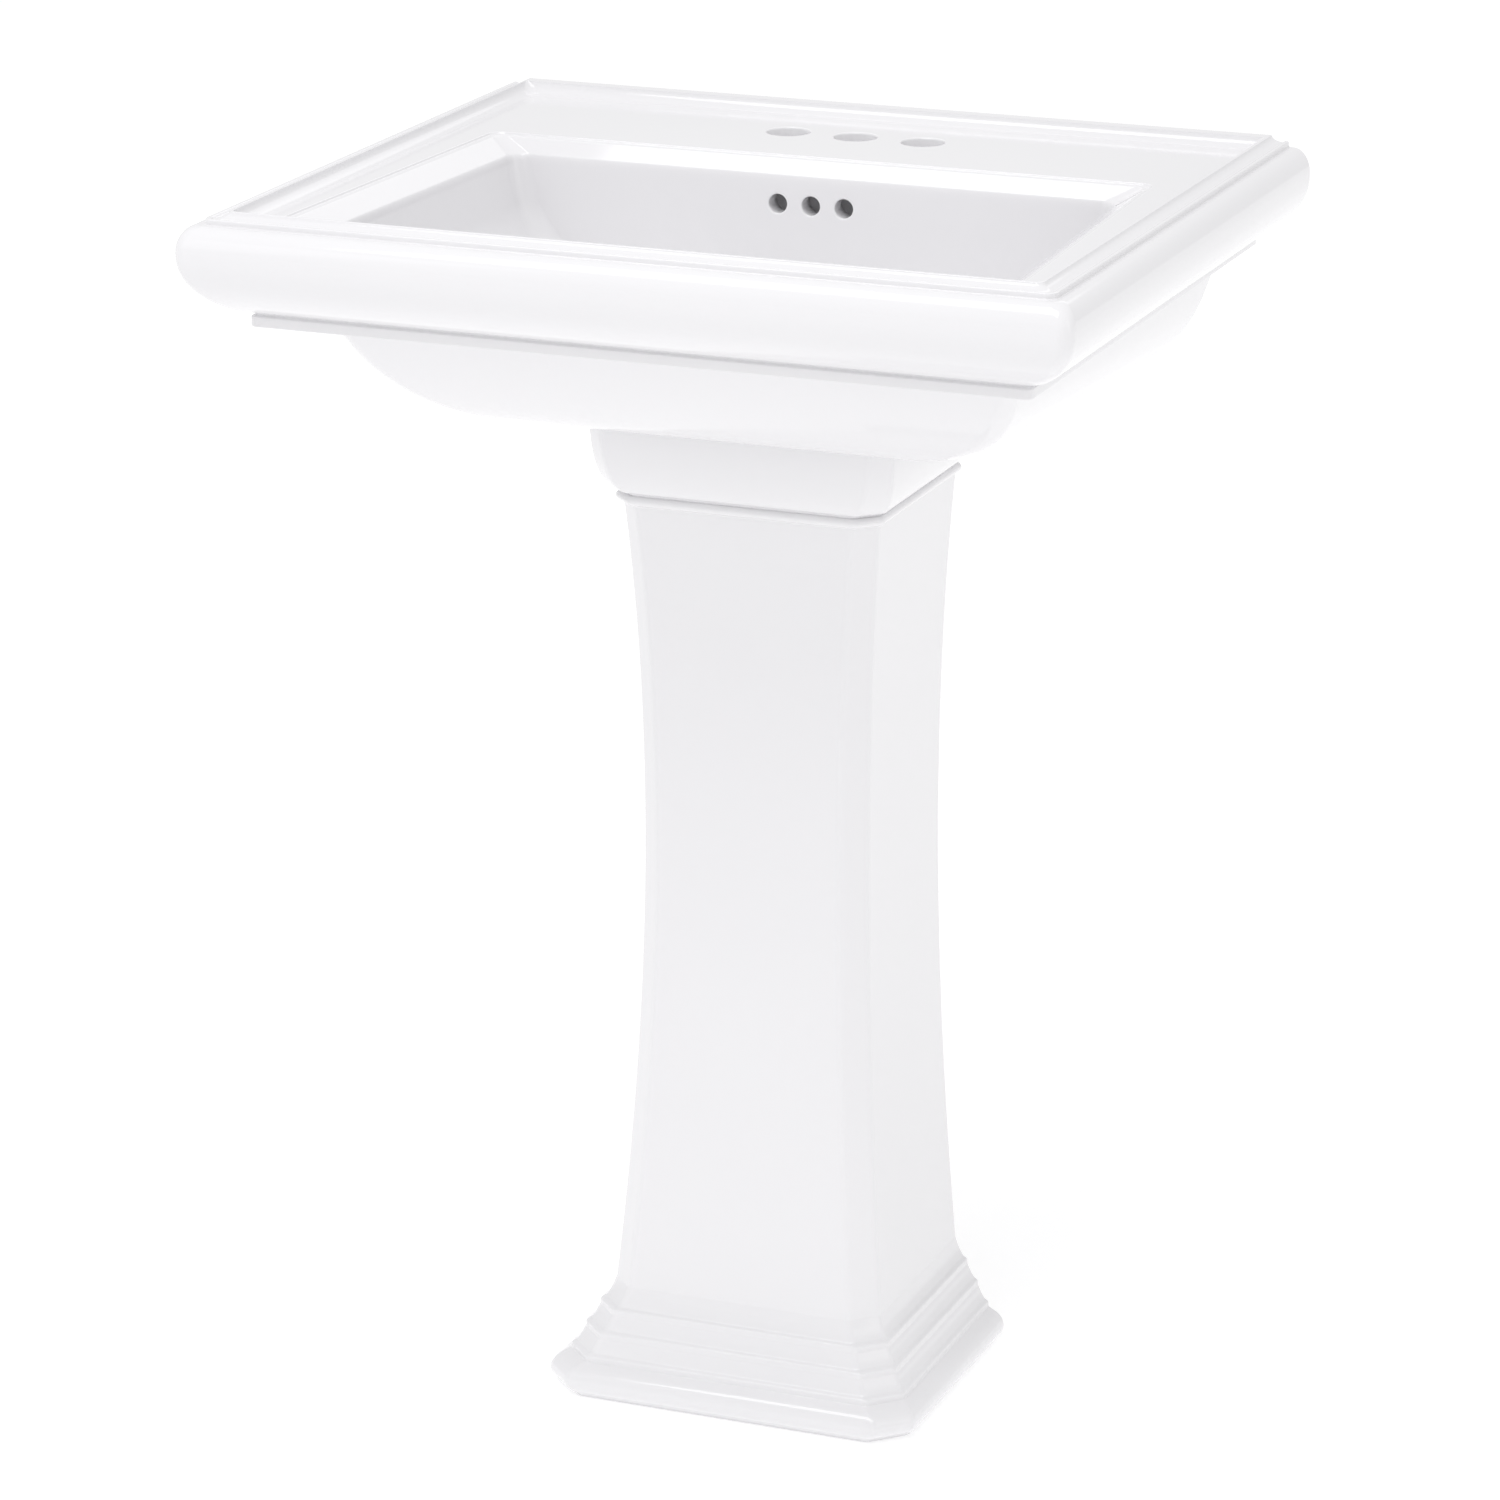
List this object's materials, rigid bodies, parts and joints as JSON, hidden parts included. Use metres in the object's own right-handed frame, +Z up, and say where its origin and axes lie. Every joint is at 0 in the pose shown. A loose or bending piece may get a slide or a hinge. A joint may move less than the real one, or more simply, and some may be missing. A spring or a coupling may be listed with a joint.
{
  "type": "pedestal washbasin",
  "caption": "Rectangular white china washbasin with a moulded rim on a square chamfered pedestal, with a push drain stopper, trap, and wall and floor fixings.",
  "frame": {"origin": "on the floor at the centre of the pedestal's footprint", "axes": "+Z up, -Y is the front, +Y points at the wall, X runs along the width"},
  "size_m": [0.624, 0.556, 0.888],
  "materials": {
    "china": "gloss",
    "chrome": "polished",
    "brass": "satin",
    "steel": "zinc plated",
    "black_rubber": "matte",
    "pad_rubber": "matte",
    "white_plastic": "matte"
  },
  "bodies": {
    "sink": {"rim": "china", "bowl": "china", "faucet_deck": "china", "pedestal": "china", "cushion_pads": "pad_rubber", "hanger_bolts": "steel", "hanger_washers": "steel", "hanger_nuts": "steel", "floor_bolt": "steel", "floor_washer": "steel", "floor_nut": "steel", "drain_body": "chrome", "flange_seal": "white_plastic", "drain_gasket": "black_rubber", "drain_washer": "white_plastic", "drain_locknut": "brass", "stopper_cartridge": "white_plastic", "tailpiece": "chrome", "inlet_slip_nut": "chrome", "inlet_slip_washer": "white_plastic", "trap_bend": "chrome", "outlet_slip_nut": "chrome", "outlet_slip_washer": "white_plastic", "trap_arm": "chrome", "wall_escutcheon": "chrome"},
    "stopper": {"stopper_cap": "chrome", "stopper_stem": "chrome", "stopper_seal": "black_rubber"}
  },
  "joints": [
    {"name": "stopper_slide", "type": "slide", "parent": "sink", "child": "stopper", "axis": [0, 0, 1], "range_m": [-0.009, 0]}
  ]
}
